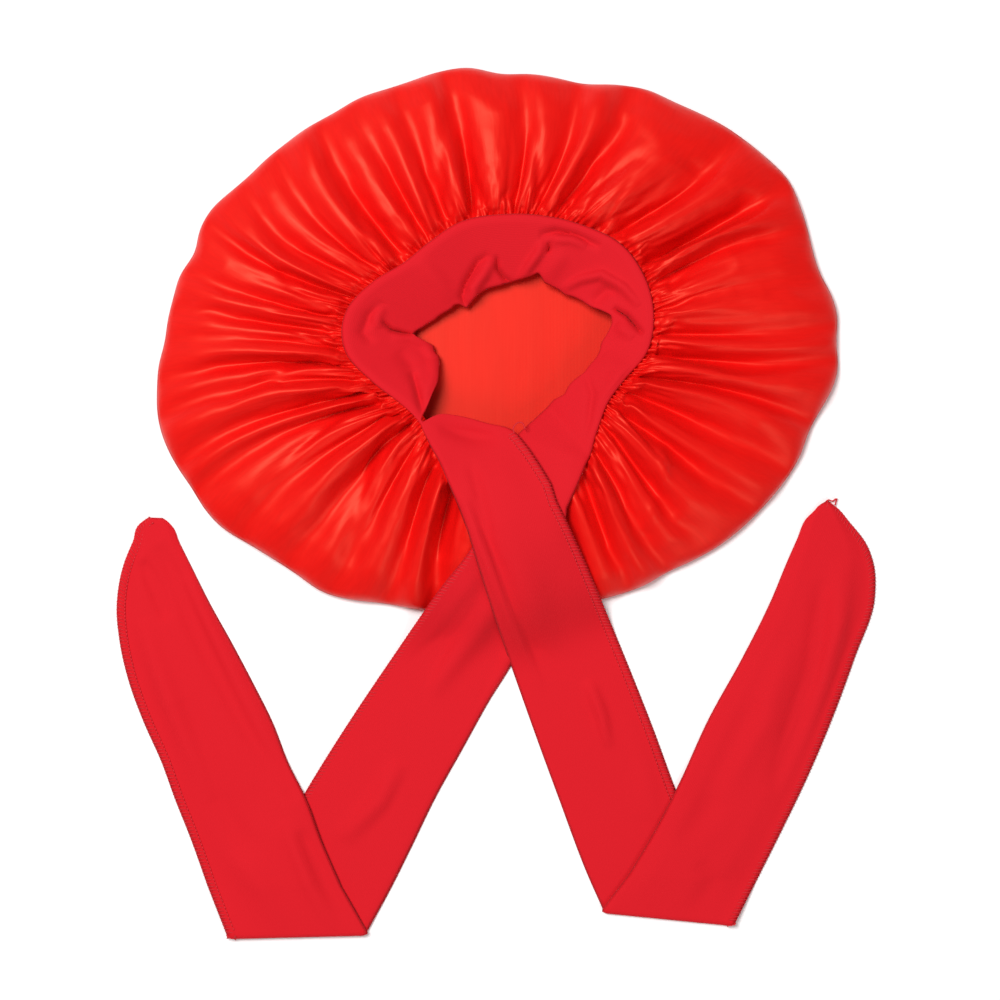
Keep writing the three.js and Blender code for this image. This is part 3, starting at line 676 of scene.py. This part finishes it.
def tie_grid(name, start):
    (length, heading, first), (length2, heading2, second) = LEGS[name]
    west, east = leg_edges(start, length, heading, first, 150)
    down = leg_plan(west, east)
    turn = (west[-1] + east[-1]) / 2
    west2, east2 = leg_edges(turn, length2, heading2, second, 120)
    back = leg_plan(west2, east2)
    low = lay_on(name, down, "first")
    high = lay_on(name, back, "second")
    down = np.dstack([down, low])
    back = np.dstack([back, high])
    return down, back


# %% Folds in the ties
TIE_FOLDS = {
    "tie_over": ([
        (((462, 494), (483, 548), (503, 600), (522, 642), (548, 700)), 2.4, 1.8),
        (((472, 500), (494, 552), (514, 606), (534, 655)), 2.6, -1.6),
        (((500, 560), (522, 620), (548, 680), (566, 740)), 5.0, -1.2),
        (((470, 462), (482, 500), (492, 540)), 3.0, -1.2),
        (((440, 430), (470, 436), (500, 440)), 4.0, -1.2),
        (((588, 680), (601, 715), (607, 748)), 3.0, 1.8),
        (((574, 690), (590, 722), (600, 762)), 3.4, -1.6),
        (((640, 700), (655, 760), (650, 820)), 9.0, 1.0),
        (((560, 790), (590, 840), (610, 890)), 7.0, -1.0),
    ], [
        (((842, 560), (838, 640), (806, 770), (766, 870)), 6.0, 2.2),
        (((822, 580), (812, 670), (770, 790)), 5.0, -1.8),
        (((866, 620), (852, 700), (818, 790)), 4.5, -1.6),
        (((790, 640), (765, 720), (715, 800)), 7.0, 1.4),
        (((760, 700), (720, 780), (680, 850)), 8.0, -1.0),
        (((700, 860), (720, 890), (725, 915)), 5.0, -1.0),
    ]),
    "tie_under": ([
        (((505, 590), (470, 640), (420, 700)), 6.0, 2.0),
        (((490, 575), (455, 625), (415, 670)), 5.0, -1.4),
        (((520, 640), (490, 700), (455, 760)), 5.0, 1.8),
        (((500, 660), (470, 720), (430, 780)), 5.0, -1.4),
        (((440, 640), (420, 690), (380, 740)), 7.0, -1.2),
        (((400, 760), (380, 800), (340, 840)), 5.0, 1.6),
        (((420, 770), (395, 820), (365, 860)), 5.0, -1.2),
    ], [
        (((160, 545), (200, 630), (255, 735), (298, 800)), 5.5, -2.2),
        (((185, 575), (238, 690), (290, 790)), 5.0, 1.8),
        (((142, 560), (158, 590), (168, 620)), 4.0, -1.8),
        (((140, 620), (170, 700), (215, 800)), 6.0, 1.4),
        (((180, 700), (215, 790), (250, 860)), 7.0, -1.0),
        (((300, 830), (320, 870), (340, 910)), 4.0, -1.8),
        (((285, 820), (305, 870), (320, 915)), 4.0, 1.2),
        (((235, 850), (265, 890), (280, 925)), 6.0, .9),
    ]),
}


# how far the second leg starts over the first, and how far the turn bulges, in mm
TURN_RISE = 2.3
TURN_BULGE = 1.8


def turn_over(down, back):
    """The rows of the crease: a tight round turn, then the way up onto the second leg."""
    ahead = down[-1].mean(0)[:2] - down[-6].mean(0)[:2]
    crease = down[-1, -1, :2] - down[-1, 0, :2]
    ahead -= crease * (ahead @ crease) / (crease @ crease)
    ahead /= np.linalg.norm(ahead)
    low, high = down[-1], down[-1].copy()
    high[:, 2] += TURN_RISE
    rows = []
    for angle in np.radians((20, 55, 90, 125, 160)):
        row = low.copy()
        row[:, :2] += ahead * math.sin(angle) * TURN_BULGE
        row[:, 2] = low[:, 2] + (1 - math.cos(angle)) * (TURN_RISE / 2)
        rows.append(row)
    rows.append(high)
    return np.array(rows + [high * (1 - s) + back[0] * s for s in np.linspace(0, 1, 14)[1:-1]])


# how many of the first leg's own rows the turn from the band takes the place of
FIRST_KEPT = {"tie_over": 28, "tie_under": 14}
# first sections of each tie past the band: its west edge and its east edge, in pixels
TURN_IN = {
    "tie_over": [((422, 426), (440, 414)), ((424, 432), (462, 417)), ((428, 440), (488, 424)),
                 ((433, 450), (511, 430)), ((440, 462), (526, 446)), ((449, 483), (539, 465)),
                 ((459, 507), (550, 483))],
    "tie_under": [((516, 436), (586, 462)), ((506, 452), (577, 484)), ((496, 472), (566, 508))],
}
# how much taller the folds are than they were read, how deep one may go and how far a second
# leg is lifted, in mm
TIE_FOLD_RAISING = 1.8
FOLD_ROOM = 1.6
LEG_LIFT = 1.5
# rows on each side of a join that are evened out
JOIN_ROWS = 16


def make_tie(name, end_row):
    """The grid of one tie from the band's end row, its columns in the band's order."""
    down, back = tie_grid(name, (end_row[0] + end_row[-1])[:2] / 2)
    turn_in = np.array([from_pixels(pair) for pair in TURN_IN[name]])
    west, east = (np.stack([smooth_curve(np.arange(len(turn_in)), turn_in[:, side, axis],
                                         np.linspace(0, len(turn_in) - 1, 36))
                            for axis in (0, 1)], 1) for side in (0, 1))
    places = leg_plan(west, east)
    first = np.dstack([places, lay_on(name, places, "first")])
    down = np.concatenate([first, down[FIRST_KEPT[name]:]])
    # columns counted from the serged edge: the left one of tie_under, the right one of tie_over
    from_serging = np.arange(ACROSS)[None, :]
    if name == "tie_over":
        from_serging = from_serging[:, ::-1]
    from_fold = ACROSS - 1 - from_serging
    quiet = np.clip(from_fold / 2, 0, 1) * np.clip((from_serging - 3) / 4, 0, 1)
    for leg, folds in ((down, TIE_FOLDS[name][0]), (back, TIE_FOLDS[name][1])):
        fold = quiet * TIE_FOLD_RAISING * stroke_field(leg[..., 0], leg[..., 1], folds)
        room = np.clip((leg[..., 2] - KNIT / 2 - .2) * .5, 0, FOLD_ROOM)
        if leg is back:
            inner = np.clip(from_fold / 5, 0, 1) * np.clip((from_serging - 3) / 5, 0, 1)
            leg[..., 2] += LEG_LIFT * inner
            room = FOLD_ROOM
        leg[..., 2] += np.maximum(fold, -room)
    legs = np.concatenate([down, turn_over(down, back), back])
    if name == "tie_under":
        legs = legs[:, ::-1]
    rows = [end_row * (1 - s) + legs[0] * s for s in np.linspace(0, 1, 8)[1:-1]]
    return np.concatenate([np.array(rows), legs])


over = make_tie("tie_over", band_mid[0])
under = make_tie("tie_under", band_mid[-1])
strip = np.concatenate([over[::-1], band_mid, under])
for middle in (len(over), len(over) + len(band_mid)):
    span = slice(middle - JOIN_ROWS, middle + JOIN_ROWS)
    strip[span] = np.dstack([soften(strip[span, :, c], 3, 0) for c in range(3)])
knit_strip = skin("knit_strip", strip, KNIT, plan_uv(strip))

# %% [markdown]
# ## Finishing the crown
#
# The band and the ties press the satin down where they lie on it. A ray sent up from each
# point of the crown finds the knit over it and near it, and the point is kept just below.

# %% Press the crown down under the knit
strip_tree = BVHTree.FromPolygons([v.co / MM for v in knit_strip.data.vertices],
                                  [tuple(f.vertices) for f in knit_strip.data.polygons])
NEAR = ((0, 0), (2.2, 0), (-2.2, 0), (0, 2.2), (0, -2.2))
# rows at the seam, where only the knit straight above counts
SEAM_ROWS = 3
OPEN = 1e3
CLEARANCE = .35
SATIN_LOWEST = .15
# no knit lies over the crown farther out than this, so no ray is sent there
KNIT_REACH = 175


def lid(x, y, near):
    """Lowest underside of the knit over a place, at each of the steps in near, in mm."""
    low = OPEN
    for dx, dy in near:
        hit = strip_tree.ray_cast(Vector((x + dx, y + dy, -5)), Vector((0, 0, 1)))[0]
        if hit is not None:
            low = min(low, hit.z)
    return low


def press_down(grid):
    pressed = 0
    for i in range(grid.shape[0]):
        for j in range(RIM_ROW + 2):
            x, y = grid[i, j, :2]
            if j < SEAM_ROWS:
                roof = lid(x, y, NEAR[:1])
            else:
                roof = lid(x, y, NEAR) if math.hypot(x, y) < KNIT_REACH else OPEN
            if grid[i, j, 2] > roof - CLEARANCE:
                grid[i, j, 2] = roof - CLEARANCE
                pressed += 1
    return pressed


print("points pressed down under the knit:", press_down(crown_grid))
crown_grid[..., 2] = np.maximum(crown_grid[..., 2], SATIN_LOWEST)

# %% The crown's mesh
SATIN_WALL = 0.45
HUB_HEIGHT = 0.2
# length of cloth drawn up in the seam, for the pattern of the threads
SEAM_CLOTH = 1100
# the flat underside is slack, so its puckers are broader by one over this
SLACK = 0.15


def make_crown():
    points = crown_grid
    columns, rows = points.shape[:2]
    hub = np.append(HUB, HUB_HEIGHT)
    flat = np.vstack([points.reshape(-1, 3), hub])
    faces = grid_faces(columns, rows, around=True)
    last = rows - 1
    for k in range(columns):
        faces.append((k * rows + last, len(flat) - 1, (k + 1) % columns * rows + last))
    around = np.repeat(np.arange(columns)[:, None] / columns * SEAM_CLOTH, rows, axis=1)
    uv = np.stack([around, from_seam], -1)
    uv[:, RIM_ROW + 4:] = points[:, RIM_ROW + 4:, :2] * SLACK
    uv = np.vstack([uv.reshape(-1, 2), HUB * SLACK])
    piece = add_mesh("crown_satin", flat, faces, uv)
    apply_modifier(piece, "SOLIDIFY", thickness=SATIN_WALL * MM, offset=-1, use_even_offset=False)
    return piece


crown = make_crown()

# %% [markdown]
# ## The serged edges
#
# The cut edge of each tie is bound by an overlock stitch: loops of thread 5.4 mm deep that wrap
# round the edge every 2.1 mm, locked by a needle line on the inside. One loop is modelled from
# a torus, pressed flat and slanted in edit mode, and one lock stitch from a cylinder. Then both
# are copied along the edge, a few dozen faces each. Lock stitches laid end to end make the two
# short tails of thread, at the tip and at the first corner of the tie on top.

# %% One loop and one lock stitch
STITCH_PITCH = 2.1
STITCH_DEPTH = 5.4
TAIL_PITCH = 1.0
# rows of each tie past the band where its serging starts
SERGED_FROM = {"tie_over": 24, "tie_under": 22}


def take_shape(piece):
    """Points in mm and faces of a modelled shape, which is then removed."""
    points = np.array([v.co[:] for v in piece.data.vertices]) / MM
    faces = [tuple(f.vertices) for f in piece.data.polygons]
    bpy.data.objects.remove(piece)
    return points, faces


def model_loop():
    bpy.ops.mesh.primitive_torus_add(major_radius=1 * MM, minor_radius=.3 * MM,
                                     major_segments=12, minor_segments=5,
                                     rotation=(math.pi / 2, 0, 0))
    bpy.ops.object.transform_apply(location=False, rotation=True, scale=False)
    bpy.ops.object.mode_set(mode="EDIT")
    bpy.ops.mesh.select_all(action="SELECT")
    bpy.ops.transform.resize(value=(STITCH_DEPTH / 2.5, 1, (KNIT + .7) / 2.4))
    bpy.ops.transform.rotate(value=.45, orient_axis="Z", center_override=(0, 0, 0))
    bpy.ops.object.mode_set(mode="OBJECT")
    return take_shape(bpy.context.active_object)


def model_lock():
    bpy.ops.mesh.primitive_cylinder_add(vertices=6, radius=.32 * MM, depth=1.7 * MM,
                                        rotation=(math.pi / 2, 0, 0), end_fill_type="TRIFAN")
    bpy.ops.object.transform_apply(location=False, rotation=True, scale=False)
    bpy.ops.object.mode_set(mode="EDIT")
    bpy.ops.mesh.select_all(action="SELECT")
    bpy.ops.mesh.bisect(plane_co=(0, 0, 0), plane_no=(0, 1, 0))
    bpy.ops.transform.resize(value=(1.5, 1, 1.5))
    bpy.ops.object.mode_set(mode="OBJECT")
    return take_shape(bpy.context.active_object)


loop, lock = model_loop(), model_lock()

# %% Stitches along an edge
def edge_frames(grid, pitch):
    """Place, way in from the edge, way along it and way up, at each stitch of the last column."""
    edge = grid[:, -1]
    run = np.concatenate([[0], np.cumsum(np.linalg.norm(np.diff(edge, axis=0), axis=1))])
    at = np.arange(pitch / 2, run[-1], pitch)

    def pick(values):
        return np.stack([np.interp(at, run, values[:, c]) for c in range(3)], 1)

    inward = pick(grid[:, -5] - edge)
    along = pick(np.gradient(edge, axis=0))
    along /= np.linalg.norm(along, axis=1, keepdims=True)
    inward -= along * (inward * along).sum(1, keepdims=True)
    inward /= np.linalg.norm(inward, axis=1, keepdims=True)
    return pick(edge), inward, along, np.cross(inward, along)


def stamp(shapes, frames, first=0):
    """Copies of the shapes at each frame, as points and as faces that count them from first."""
    points, faces = [], []
    place, inward, along, up = frames
    for k in range(len(place)):
        for (shape, shape_faces), shift in shapes:
            shape = shape * (1, rng.uniform(.9, 1.1), 1) + shift
            points.append(place[k] + shape[:, :1] * inward[k] + shape[:, 1:2] * along[k]
                          + shape[:, 2:] * up[k])
            faces += [tuple(i + first for i in f) for f in shape_faces]
            first += len(shape)
    return np.concatenate(points), faces


def tail_line(pixels, height):
    """A line for a tail of thread, as a narrow grid whose last column is the line."""
    places = from_pixels(pixels)
    at = np.linspace(0, len(places) - 1, 18)
    line = np.stack([smooth_curve(np.arange(len(places)), places[:, c], at) for c in (0, 1)], 1)
    ahead = np.gradient(line, axis=0)
    side = np.stack([-ahead[:, 1], ahead[:, 0]], 1)
    side /= np.linalg.norm(side, axis=1, keepdims=True)
    grid = line[:, None] + side[:, None] * np.linspace(1, 0, 6)[None, :, None]
    return np.dstack([grid, np.full(grid.shape[:2], height)])


def make_serging(name, grid, tails):
    frames = edge_frames(grid, STITCH_PITCH)
    half = STITCH_DEPTH / 2
    points, faces = stamp([(loop, (half - .5, 0, 0)), (lock, (STITCH_DEPTH - .6, 1, .95))], frames)
    for pixels, height in tails:
        line = edge_frames(tail_line(pixels, height), TAIL_PITCH)
        more, more_faces = stamp([(lock, (0, 0, 0))], line, len(points))
        points = np.concatenate([points, more])
        faces += more_faces
    piece = add_mesh(name, points, faces)
    face_outward(piece)
    print(name, "stitches:", len(frames[0]), "faces:", len(faces))
    return piece


tip_height = over[-1, -1, 2] + .6
corner_height = over[SERGED_FROM["tie_over"], -1, 2] + 1.2
TAILS = [([(825, 509), (825, 503), (828, 500), (832, 501), (836, 499), (835, 504)],
          tip_height),
         ([(514, 434), (513, 429), (517, 424), (522, 424), (525, 430)], corner_height)]
serging = [make_serging("serging_over", over[SERGED_FROM["tie_over"]:], TAILS),
           make_serging("serging_under", under[SERGED_FROM["tie_under"]:], [])]

# %% [markdown]
# ## Finishes
#
# The crown is polyester satin: long floats of smooth thread lie on its face, so it is glossy in
# soft, coloured streaks. The band and ties are jersey knit, which is matt with a faint fuzz and
# fine ribs of stitches along its length.

# %% One node, one colour
def linear(hex_colour):
    channels = [int(hex_colour[k:k + 2], 16) / 255 for k in (0, 2, 4)]
    return [c / 12.92 if c <= .04045 else ((c + .055) / 1.055)**2.4 for c in channels] + [1]


def add_node(material, kind, settings=(), links=()):
    """Adds a node; settings and links are dicts by socket or property name."""
    node = material.node_tree.nodes.new(kind)
    for key, value in dict(settings).items():
        if key in node.inputs:
            node.inputs[key].default_value = value
        else:
            setattr(node, key, value)
    for key, source in dict(links).items():
        material.node_tree.links.new(source, node.inputs[key])
    return node


def new_material(name, **settings):
    """A material and its shader; each setting is an input whose spaces are underscores."""
    material = bpy.data.materials.new(name)
    material.use_nodes = True
    shader = material.node_tree.nodes["Principled BSDF"]
    for key, value in settings.items():
        shader.inputs[key.replace("_", " ")].default_value = value
    return material, shader


def colour_between(material, shader, one, other, share):
    """The cloth's colour goes from one to the other with the share that a node gives."""
    tint = add_node(material, "ShaderNodeMix", {"data_type": "RGBA"})
    tint.inputs[6].default_value = linear(one)
    tint.inputs[7].default_value = linear(other)
    material.node_tree.links.new(share, tint.inputs[0])
    material.node_tree.links.new(tint.outputs[2], shader.inputs["Base Color"])


# %% Polyester satin
def make_satin():
    material, shader = new_material(
        "polyester_satin", Roughness=.43, Specular_IOR_Level=.66,
        Specular_Tint=linear("ff9a78"), Sheen_Weight=.03, Sheen_Tint=linear("ff6a4a"))
    uv = add_node(material, "ShaderNodeUVMap", {"uv_map": "cloth"})
    stretch = add_node(material, "ShaderNodeMapping", {"Scale": (.5, .09, 1)},
                       {"Vector": uv.outputs[0]})
    pucker = add_node(material, "ShaderNodeTexNoise", {"Scale": 1.0, "Detail": 4.0},
                      {"Vector": stretch.outputs[0]})
    threads = add_node(material, "ShaderNodeTexWave", {"Scale": 1.1, "Distortion": 1.5},
                       {"Vector": uv.outputs[0]})
    soft = add_node(material, "ShaderNodeBump", {"Strength": .09, "Distance": .0012},
                    {"Height": pucker.outputs[0]})
    weave = add_node(material, "ShaderNodeBump", {"Strength": .03, "Distance": .0002},
                     {"Height": threads.outputs[0], "Normal": soft.outputs[0]})
    material.node_tree.links.new(weave.outputs[0], shader.inputs["Normal"])
    colour_between(material, shader, "ea100f", "d80b0c", pucker.outputs[0])
    return material


satin = make_satin()
crown.data.materials.clear()
crown.data.materials.append(satin)

# %% Jersey knit
def make_knit():
    material, shader = new_material(
        "jersey_knit", Roughness=.85, Specular_IOR_Level=.3, Sheen_Weight=.12,
        Sheen_Roughness=.5, Sheen_Tint=linear("ff5a60"))
    uv = add_node(material, "ShaderNodeUVMap", {"uv_map": "cloth"})
    ribs = add_node(material, "ShaderNodeTexWave",
                    {"bands_direction": "Y", "Scale": .32, "Distortion": .6, "Detail": 2.0},
                    {"Vector": uv.outputs[0]})
    fuzz = add_node(material, "ShaderNodeTexNoise", {"Scale": 1.4, "Detail": 3.0},
                    {"Vector": uv.outputs[0]})
    rib_bump = add_node(material, "ShaderNodeBump", {"Strength": .25, "Distance": .0002},
                        {"Height": ribs.outputs[1]})
    bump = add_node(material, "ShaderNodeBump", {"Strength": .2, "Distance": .0003},
                    {"Height": fuzz.outputs[0], "Normal": rib_bump.outputs[0]})
    material.node_tree.links.new(bump.outputs[0], shader.inputs["Normal"])
    colour_between(material, shader, "cc0618", "da0b1d", fuzz.outputs[0])
    return material


knit = make_knit()
knit_strip.data.materials.clear()
knit_strip.data.materials.append(knit)

# %% Overlock thread
def make_thread():
    material, shader = new_material("polyester_thread", Roughness=.6)
    place = add_node(material, "ShaderNodeTexCoord")
    twist = add_node(material, "ShaderNodeTexNoise", {"Scale": 900.0, "Detail": 2.0},
                     {"Vector": place.outputs["Object"]})
    colour_between(material, shader, "c00616", "dc1426", twist.outputs[0])
    return material


thread = make_thread()
for piece in serging:
    piece.data.materials.append(thread)

# %% What each piece is
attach(crown, "root")
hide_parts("crown")
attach(knit_strip, "root")
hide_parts("band", "tie_over", "tie_under")
for piece in serging:
    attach(piece, "root")

# %% [markdown]
# ## Floor, light and camera
#
# The photograph was taken from straight above on white, in wide soft light: most of it from the
# upper left, and a little from the lower right, in front of the cap. The camera stands over the
# picture's middle, which is 88 mm in front of the crown's middle.

# %% The studio
def make_floor():
    bpy.ops.mesh.primitive_plane_add(size=6, location=(0, 0, 0))
    floor = bpy.context.active_object
    floor.name = "floor"
    floor.data.materials.append(new_material(
        "white_table", Base_Color=linear("ffffff"), Roughness=1, Specular_IOR_Level=0)[0])


def add_area(name, place, size, power, aim=(0, -.09, 0)):
    data = bpy.data.lights.new(name, "AREA")
    data.size = size
    data.energy = power
    lamp = bpy.data.objects.new(name, data)
    lamp.location = place
    direction = Vector(aim) - Vector(place)
    lamp.rotation_euler = direction.to_track_quat("-Z", "Y").to_euler()
    bpy.context.collection.objects.link(lamp)


make_floor()
add_area("overhead_softbox", (-.62, .5, 1.8), .9, 38)
add_area("side_softbox", (.8, -1.3, 1.3), .9, 9)
world = bpy.data.worlds.new("studio")
bpy.context.scene.world = world
world.use_nodes = True
world.node_tree.nodes["Background"].inputs[0].default_value = (1, 1, 1, 1)
world.node_tree.nodes["Background"].inputs[1].default_value = .22

CAMERA_HEIGHT = 1.6
PICTURE_PIXELS = 1000
SENSOR = 36
camera_data = bpy.data.cameras.new("camera")
camera_data.sensor_width = SENSOR
camera_data.lens = SENSOR * CAMERA_HEIGHT / (PICTURE_PIXELS * PIXEL * MM)
camera = bpy.data.objects.new("camera", camera_data)
camera.location = (0, (MIDDLE_PIXEL[1] - PICTURE_PIXELS / 2) * PIXEL * MM, CAMERA_HEIGHT)
bpy.context.collection.objects.link(camera)
bpy.context.scene.camera = camera
bpy.context.scene.view_settings.view_transform = "Standard"
